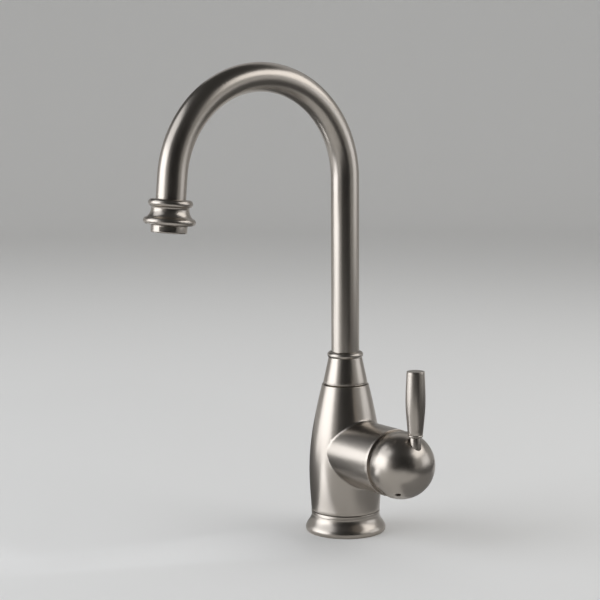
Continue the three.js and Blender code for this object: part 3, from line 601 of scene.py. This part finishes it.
def grip():
    """The barrel-shaped lever, with a bead at its foot and a socket for the neck's stud."""
    end, belly, top_radius = 5 * MM, 6.5 * MM, 5.85 * MM
    bead, groove = 0.8 * MM, 0.2 * MM
    cut_short = 0.7  # the bead's round, in radians, where the groove meets it
    bore = 2.8 * MM
    bore_top = GRIP_BASE + 10 * MM
    swell = GRIP_BASE + 24 * MM
    foot = (end, GRIP_BASE + 2 * bead + 2 * groove)
    return turned(
        "grip",
        [
            (0, bore_top),
            (bore, bore_top),
            (bore, GRIP_BASE),
            *arc(end - bead, GRIP_BASE + bead, bead, -pi / 2, pi / 2 - cut_short, 10),
            (end - groove, GRIP_BASE + 2 * bead),
            *curve(foot, (end + 0.5 * MM, foot[1] + 8 * MM), (belly, swell - 9 * MM), (belly, swell), 14),
            *curve(
                (belly, swell),
                (belly, swell + 7 * MM),
                (top_radius + 0.25 * MM, GRIP_TOP - 6 * MM),
                (top_radius, GRIP_TOP - EDGE),
                12,
            )[1:],
            *arc(top_radius - EDGE, GRIP_TOP - EDGE, EDGE, 0, pi / 2, 4)[1:],
            (0, GRIP_TOP),
        ],
        sides=64,
        place=lever_frame,
    )


# ------------------------------------------------------------------ materials

MIX_A, MIX_B, MIX_RESULT = 6, 7, 2  # the colour sockets of a Mix node
NICKEL = (0.44, 0.403, 0.365, 1)
WARM_NICKEL = (0.43, 0.388, 0.34, 1)
LINE_DEPTH = 0.0000003  # of the brushed lines
GRAIN_DEPTH = 0.000004


def wire(tree, source, output, target, socket):
    """Links two sockets, each given by name or number."""
    tree.links.new(source.outputs[output], target.inputs[socket])


def node(tree, kind, values=None, **settings):
    """A shader node with its settings and its sockets' values."""
    new = tree.nodes.new(kind)
    for name, value in settings.items():
        setattr(new, name, value)
    for name, value in (values or {}).items():
        new.inputs[name].default_value = value
    return new


def new_group(name, inputs, outputs):
    """A node group with these sockets, and its two end nodes."""
    tree = bpy.data.node_groups.new(name, "ShaderNodeTree")
    for way, sockets in (("INPUT", inputs), ("OUTPUT", outputs)):
        for socket, kind in sockets:
            tree.interface.new_socket(socket, in_out=way, socket_type="NodeSocket" + kind)
    return tree, node(tree, "NodeGroupInput"), node(tree, "NodeGroupOutput")


def satin_group():
    """Fine lines left by a brush across the pattern's z, over slow clouds of duller and warmer metal."""
    tree, given, out = new_group(
        "satin_brushing",
        [
            ("Pattern", "Vector"),
            ("Metal", "Color"),
            ("Warm Metal", "Color"),
            ("Smoothest", "Float"),
            ("Roughest", "Float"),
            ("Line Depth", "Float"),
        ],
        [("Color", "Color"), ("Roughness", "Float"), ("Normal", "Vector")],
    )

    stretch = node(tree, "ShaderNodeMapping", {"Scale": (60, 60, 4200)})
    wire(tree, given, "Pattern", stretch, "Vector")
    lines = node(tree, "ShaderNodeTexNoise", {"Scale": 1, "Detail": 3, "Roughness": 0.6})
    wire(tree, stretch, "Vector", lines, "Vector")
    clouds = node(tree, "ShaderNodeTexNoise", {"Scale": 55, "Detail": 2, "Roughness": 0.5})
    wire(tree, given, "Pattern", clouds, "Vector")

    both = node(tree, "ShaderNodeMath", operation="MULTIPLY")
    wire(tree, lines, "Fac", both, 0)
    wire(tree, clouds, "Fac", both, 1)
    spread = node(tree, "ShaderNodeMapRange", {"From Min": 0.12, "From Max": 0.4})
    wire(tree, both, "Value", spread, "Value")
    wire(tree, given, "Smoothest", spread, "To Min")
    wire(tree, given, "Roughest", spread, "To Max")
    wire(tree, spread, "Result", out, "Roughness")

    mix = node(tree, "ShaderNodeMix", data_type="RGBA")
    wire(tree, clouds, "Fac", mix, "Factor")
    wire(tree, given, "Metal", mix, MIX_A)
    wire(tree, given, "Warm Metal", mix, MIX_B)
    wire(tree, mix, MIX_RESULT, out, "Color")

    bump = node(tree, "ShaderNodeBump", {"Strength": 1})
    wire(tree, given, "Line Depth", bump, "Distance")
    wire(tree, lines, "Fac", bump, "Height")
    wire(tree, bump, "Normal", out, "Normal")
    return tree


def grain_group():
    """The even grain of moulded or ground stock."""
    tree, given, out = new_group(
        "even_grain",
        [("Light", "Color"), ("Dark", "Color"), ("Grain Depth", "Float")],
        [("Color", "Color"), ("Normal", "Vector")],
    )
    place = node(tree, "ShaderNodeTexCoord")
    grain = node(tree, "ShaderNodeTexNoise", {"Scale": 1400, "Detail": 3})
    wire(tree, place, "Object", grain, "Vector")
    mix = node(tree, "ShaderNodeMix", data_type="RGBA")
    wire(tree, grain, "Fac", mix, "Factor")
    wire(tree, given, "Light", mix, MIX_A)
    wire(tree, given, "Dark", mix, MIX_B)
    wire(tree, mix, MIX_RESULT, out, "Color")
    bump = node(tree, "ShaderNodeBump", {"Strength": 1})
    wire(tree, given, "Grain Depth", bump, "Distance")
    wire(tree, grain, "Fac", bump, "Height")
    wire(tree, bump, "Normal", out, "Normal")
    return tree


satin = satin_group()
grain = grain_group()


def blank(name):
    """A material with its shader and output."""
    material = bpy.data.materials.new(name)
    material.use_nodes = True
    return material, material.node_tree, material.node_tree.nodes["Principled BSDF"]


def brushed(name, axis_frame=None, metal=NICKEL, warm=WARM_NICKEL, smooth=0.275, rough=0.295):
    """Brushed metal. Its lines run round the z of axis_frame, or round the bent tube where it has none."""
    material, tree, shader = blank(name)
    group = node(
        tree,
        "ShaderNodeGroup",
        {"Metal": metal, "Warm Metal": warm, "Smoothest": smooth, "Roughest": rough, "Line Depth": LINE_DEPTH},
        node_tree=satin,
    )
    place = node(tree, "ShaderNodeTexCoord")
    if axis_frame is None:
        length = node(tree, "ShaderNodeAttribute", attribute_name="along")
        split = node(tree, "ShaderNodeSeparateXYZ")
        wire(tree, place, "Object", split, "Vector")
        join = node(tree, "ShaderNodeCombineXYZ")
        wire(tree, split, "X", join, "X")
        wire(tree, split, "Y", join, "Y")
        wire(tree, length, "Fac", join, "Z")
        wire(tree, join, "Vector", group, "Pattern")
    else:
        back = axis_frame.inverted()
        turn = node(tree, "ShaderNodeMapping", {"Location": back.to_translation(), "Rotation": back.to_euler()})
        wire(tree, place, "Object", turn, "Vector")
        wire(tree, turn, "Vector", group, "Pattern")
    shader.inputs["Metallic"].default_value = 1
    for output, socket in (("Color", "Base Color"), ("Roughness", "Roughness"), ("Normal", "Normal")):
        wire(tree, group, output, shader, socket)
    return material


def grained(name, light, dark, roughness):
    """Moulded rubber or plastic, or ground ceramic."""
    material, tree, shader = blank(name)
    values = {"Light": light, "Dark": dark, "Grain Depth": GRAIN_DEPTH}
    group = node(tree, "ShaderNodeGroup", values, node_tree=grain)
    shader.inputs["Roughness"].default_value = roughness
    wire(tree, group, "Color", shader, "Base Color")
    wire(tree, group, "Normal", shader, "Normal")
    return material


nickel_upright = brushed("nickel_upright", Matrix())
nickel_tube = brushed("nickel_tube")
nickel_spout_end = brushed("nickel_spout_end", spout_frame)
nickel_ball = brushed("nickel_ball", valve_frame)
nickel_lever = brushed("nickel_lever", lever_frame)
brass = brushed(
    "turned_brass", Matrix(), metal=(0.74, 0.6, 0.32, 1), warm=(0.7, 0.55, 0.28, 1), smooth=0.3, rough=0.42
)
steel = brushed(
    "plain_steel", valve_frame, metal=(0.6, 0.61, 0.62, 1), warm=(0.55, 0.55, 0.55, 1), smooth=0.28, rough=0.4
)
rubber = grained("black_rubber", light=(0.03, 0.03, 0.03, 1), dark=(0.018, 0.018, 0.018, 1), roughness=0.75)
acetal = grained("white_acetal", light=(0.78, 0.77, 0.72, 1), dark=(0.7, 0.69, 0.65, 1), roughness=0.5)
grey_plastic = grained("grey_plastic", light=(0.16, 0.17, 0.18, 1), dark=(0.13, 0.135, 0.14, 1), roughness=0.5)
ceramic = grained("disc_ceramic", light=(0.85, 0.82, 0.75, 1), dark=(0.8, 0.77, 0.7, 1), roughness=0.22)

# ------------------------------------------------------------------ pieces on their bodies


def dress(piece, material):
    """Gives a piece this material and no other."""
    piece.data.materials.clear()
    piece.data.materials.append(material)


def place_piece(piece, node_name, body_name, material):
    """Shades a new piece, gives it its finish and lets it stand for a node of that body."""
    shade(piece)
    dress(piece, material)
    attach(piece, body_name)
    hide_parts(node_name)


place_piece(base_ring(), "base_flange", "base", nickel_upright)
place_piece(body(), "body_casting", "base", nickel_upright)
place_piece(collar(), "spout_collar", "spout", nickel_upright)
place_piece(gooseneck(), "spout_tube", "spout", nickel_tube)
place_piece(nozzle(), "nozzle", "spout", nickel_spout_end)
place_piece(aerator_ring(), "aerator_housing", "spout", nickel_spout_end)
place_piece(ball(), "handle_ball", "handle", nickel_ball)
place_piece(lever_neck(), "lever_post", "handle", nickel_lever)
place_piece(grip(), "lever_grip", "handle", nickel_lever)

kept_nodes = {
    rubber: [
        "base_gasket", "swivel_oring_lower", "swivel_oring_upper", "aerator_gasket", "port_seal",
        "cartridge_oring", "rotor_oring",
    ],
    acetal: ["swivel_washer", "swivel_guide_ring", "cartridge_base", "cartridge_housing"],
    grey_plastic: ["aerator_insert", "disc_carrier", "cartridge_rotor"],
    ceramic: ["fixed_disc", "moving_disc"],
    brass: ["swivel_spigot", "cartridge_nut"],
    steel: ["retaining_ring", "stem_pin", "stem", "handle_set_screw"],
}
for material, names in kept_nodes.items():
    for name in names:
        dress(frame["nodes"][name], material)

# ------------------------------------------------------------------ studio

# The photograph's camera, fitted to the object's outline. Its angles are in radians.
CAMERA_PLACE = Vector((0.87023, -0.65963, 0.30361))
CAMERA_TURN = 0.9503
CAMERA_DIP = 0.1311
CAMERA_ROLL = 0.0059
CAMERA_LENS = 97.23
SENSOR_WIDTH = 36

LIT_CENTRE = Vector((0, -0.05, 0.14))  # what the lamps face
KEY_COLOUR = (0.925, 0.955, 1)  # a little cool, as the photograph's brightest bands
CARD_HEIGHT = 2 * MM  # of a card over the floor
# The floor sheen is a painted reflection: a grey card that glows as the key lamp mirrored in the floor
SHEEN_HEIGHT = 3 * MM
SHEEN_GREY = 0.3
SHEEN_START, SHEEN_FULL = 0.58, 0.7  # of Layer Weight's Facing


def studio_bowl():
    """A round floor that curves up into a wall, pale and matte."""
    wall, bend, height = 3.2, 0.9, 1.4
    bowl = turned(
        "studio_bowl", [(0, 0), (1, 0), *arc(wall - bend, bend, bend, -pi / 2, 0, 24), (wall, height)]
    )
    shade(bowl)
    material, tree, shader = blank("pale_floor")
    shader.inputs["Base Color"].default_value = (0.79, 0.79, 0.785, 1)
    shader.inputs["Roughness"].default_value = 0.9
    dress(bowl, material)


def view_direction(right_turn, rise):
    """A direction from the object, turned right from the camera's side and raised, in degrees."""
    towards = degrees(atan2(CAMERA_PLACE.y, CAMERA_PLACE.x)) + right_turn
    flat = cos(radians(rise))
    return Vector((cos(radians(towards)) * flat, sin(radians(towards)) * flat, sin(radians(rise))))


def softbox(name, right_turn, rise, distance, width, height, brightness, colour=(1, 1, 1)):
    """An area lamp that faces the middle of the object. A brightness of 1 looks white."""
    way = view_direction(right_turn, rise)
    light = bpy.data.lights.new(name, "AREA")
    light.shape = "RECTANGLE"
    light.size, light.size_y = width, height
    light.energy = pi * width * height * brightness
    light.color = colour
    holder = bpy.data.objects.new(name, light)
    holder.matrix_world = facing(way * distance + LIT_CENTRE, way)
    holder.visible_camera = False
    bpy.context.scene.collection.objects.link(holder)


def card(name, place, width, height, grey, glow=0):
    """A matte card that only reflections see. Where it glows, the glow is a painted highlight that stands for a
    lamp.
    """
    mesh = bmesh.new()
    bmesh.ops.create_grid(
        mesh, x_segments=1, y_segments=1, size=0.5, matrix=place @ Matrix.Diagonal((width, height, 1, 1))
    )
    piece = made(name, mesh)
    material, tree, shader = blank(name)
    shader.inputs["Base Color"].default_value = (grey, grey, grey, 1)
    shader.inputs["Roughness"].default_value = 1
    shader.inputs["Emission Color"].default_value = (*KEY_COLOUR, 1)
    shader.inputs["Emission Strength"].default_value = glow
    dress(piece, material)
    piece.visible_camera = False
    piece.visible_diffuse = False
    piece.visible_shadow = False
    return tree, shader


def standing_card(name, right_turn, distance, width, bottom, top, grey, glow=0):
    """A card that stands square to its direction from the object."""
    way = view_direction(right_turn, 0)
    middle = Vector((way.x * distance, way.y * distance, (bottom + top) / 2))
    card(name, facing(middle, way), width, top - bottom, grey, glow)


def floor_card(name, right_turn, near, far, width, grey, aside=0, height=CARD_HEIGHT):
    """A card that lies over the floor, between two distances in a direction from the object."""
    way = view_direction(right_turn, 0)
    half_way = way * (near + far) / 2 + Vector((-way.y, way.x, 0)) * aside
    middle = Matrix.Translation((half_way.x, half_way.y, height))
    return card(name, middle @ Matrix.Rotation(atan2(way.y, way.x), 4, "Z"), far - near, width, grey)


def painted_floor_sheen(name, right_turn, near, far, width, aside, brightness):
    """A painted reflection of the key lamp in the floor: a glowing card that shows at a low angle only."""
    tree, shader = floor_card(name, right_turn, near, far, width, SHEEN_GREY, aside, SHEEN_HEIGHT)
    slant = node(tree, "ShaderNodeLayerWeight", {"Blend": 0.5})
    rising = {"From Min": SHEEN_START, "From Max": SHEEN_FULL, "To Min": 0, "To Max": brightness}
    glow = node(tree, "ShaderNodeMapRange", rising)
    wire(tree, slant, "Facing", glow, "Value")
    wire(tree, glow, "Result", shader, "Emission Strength")


def camera():
    """The photograph's camera in its place."""
    forward = Vector(
        (-sin(CAMERA_TURN) * cos(CAMERA_DIP), cos(CAMERA_TURN) * cos(CAMERA_DIP), -sin(CAMERA_DIP))
    )
    right = Vector((cos(CAMERA_TURN), sin(CAMERA_TURN), 0))
    up = right.cross(forward)
    rolled_right = cos(CAMERA_ROLL) * right - sin(CAMERA_ROLL) * up
    rolled_up = sin(CAMERA_ROLL) * right + cos(CAMERA_ROLL) * up
    data = bpy.data.cameras.new("photo_camera")
    data.sensor_width = SENSOR_WIDTH
    data.lens = CAMERA_LENS
    data.clip_start = 0.01
    holder = bpy.data.objects.new("photo_camera", data)
    axes = Matrix((rolled_right, rolled_up, -forward)).transposed()
    holder.matrix_world = Matrix.Translation(CAMERA_PLACE) @ axes.to_4x4()
    bpy.context.scene.collection.objects.link(holder)
    bpy.context.scene.camera = holder


def studio_world():
    """An even pale light on everything, from a ceiling that reflections show dark."""
    world = bpy.data.worlds.new("studio")
    world.use_nodes = True
    tree = world.node_tree
    pale = tree.nodes["Background"]
    pale.inputs["Color"].default_value = (1, 0.99, 0.97, 1)
    pale.inputs["Strength"].default_value = 0.46
    dark = node(tree, "ShaderNodeBackground", {"Color": (0.05, 0.05, 0.05, 1), "Strength": 1})
    path = node(tree, "ShaderNodeLightPath")
    mix = node(tree, "ShaderNodeMixShader")
    wire(tree, path, "Is Glossy Ray", mix, "Fac")
    wire(tree, pale, 0, mix, 1)
    wire(tree, dark, 0, mix, 2)
    wire(tree, mix, 0, tree.nodes["World Output"], "Surface")
    bpy.context.scene.world = world


camera()
studio_bowl()
studio_world()

# Lamps. Turns and rises are in degrees, the rest in metres.
softbox(
    "key", right_turn=-77, rise=19, distance=1.7, width=1.6, height=0.6, brightness=2.8, colour=KEY_COLOUR
)
softbox(
    "key_top", right_turn=-79, rise=42, distance=1.7, width=1.5, height=0.75, brightness=1.55, colour=KEY_COLOUR
)
softbox("right_high", right_turn=85, rise=35, distance=1.3, width=1.2, height=0.6, brightness=2)
softbox("back", right_turn=157, rise=43, distance=1.4, width=2.2, height=0.7, brightness=0.5)

# What the metal mirrors beside the lamps: dark flags, and glowing cards, painted highlights that carry a lamp's
# light down to the floor
standing_card("front_flag", right_turn=7, distance=0.62, width=0.95, bottom=0, top=0.55, grey=0.02)
# Painted highlight: a glowing card, no lamp, that carries the key lamp down to the floor in reflections
standing_card("key_low_card", right_turn=-77, distance=1.58, width=1.6, bottom=0, top=0.42, grey=0.5, glow=2.5)
# Painted highlight: a small glowing card near the object, no lamp, that only reflections show
standing_card(
    "key_card", right_turn=-98, distance=0.207, width=0.05, bottom=0.035, top=0.13, grey=0.5, glow=2.1
)
# Painted highlight: a glowing card, no lamp, that carries the right lamp further down in reflections
standing_card("right_card", right_turn=92, distance=1.3, width=0.85, bottom=0.07, top=0.57, grey=0.5, glow=1.1)
floor_card("left_floor_flag", right_turn=-140, near=0.045, far=0.6, width=0.4, grey=0.12)
floor_card("right_floor_flag", right_turn=80, near=0.2, far=1.1, width=1, grey=0.1)
floor_card("right_foot_flag", right_turn=80, near=0.05, far=0.2, width=0.2, grey=0.38)
# Painted reflections of the key lamp in the floor: glowing cards that only reflections see
painted_floor_sheen("key_sheen", right_turn=-76, near=0.04, far=0.4, width=0.062, aside=0.018, brightness=2.8)
painted_floor_sheen("key_sheen_far", right_turn=-76, near=0.41, far=1.55, width=0.4, aside=0.03, brightness=1.9)

bpy.context.scene.view_settings.view_transform = "Standard"
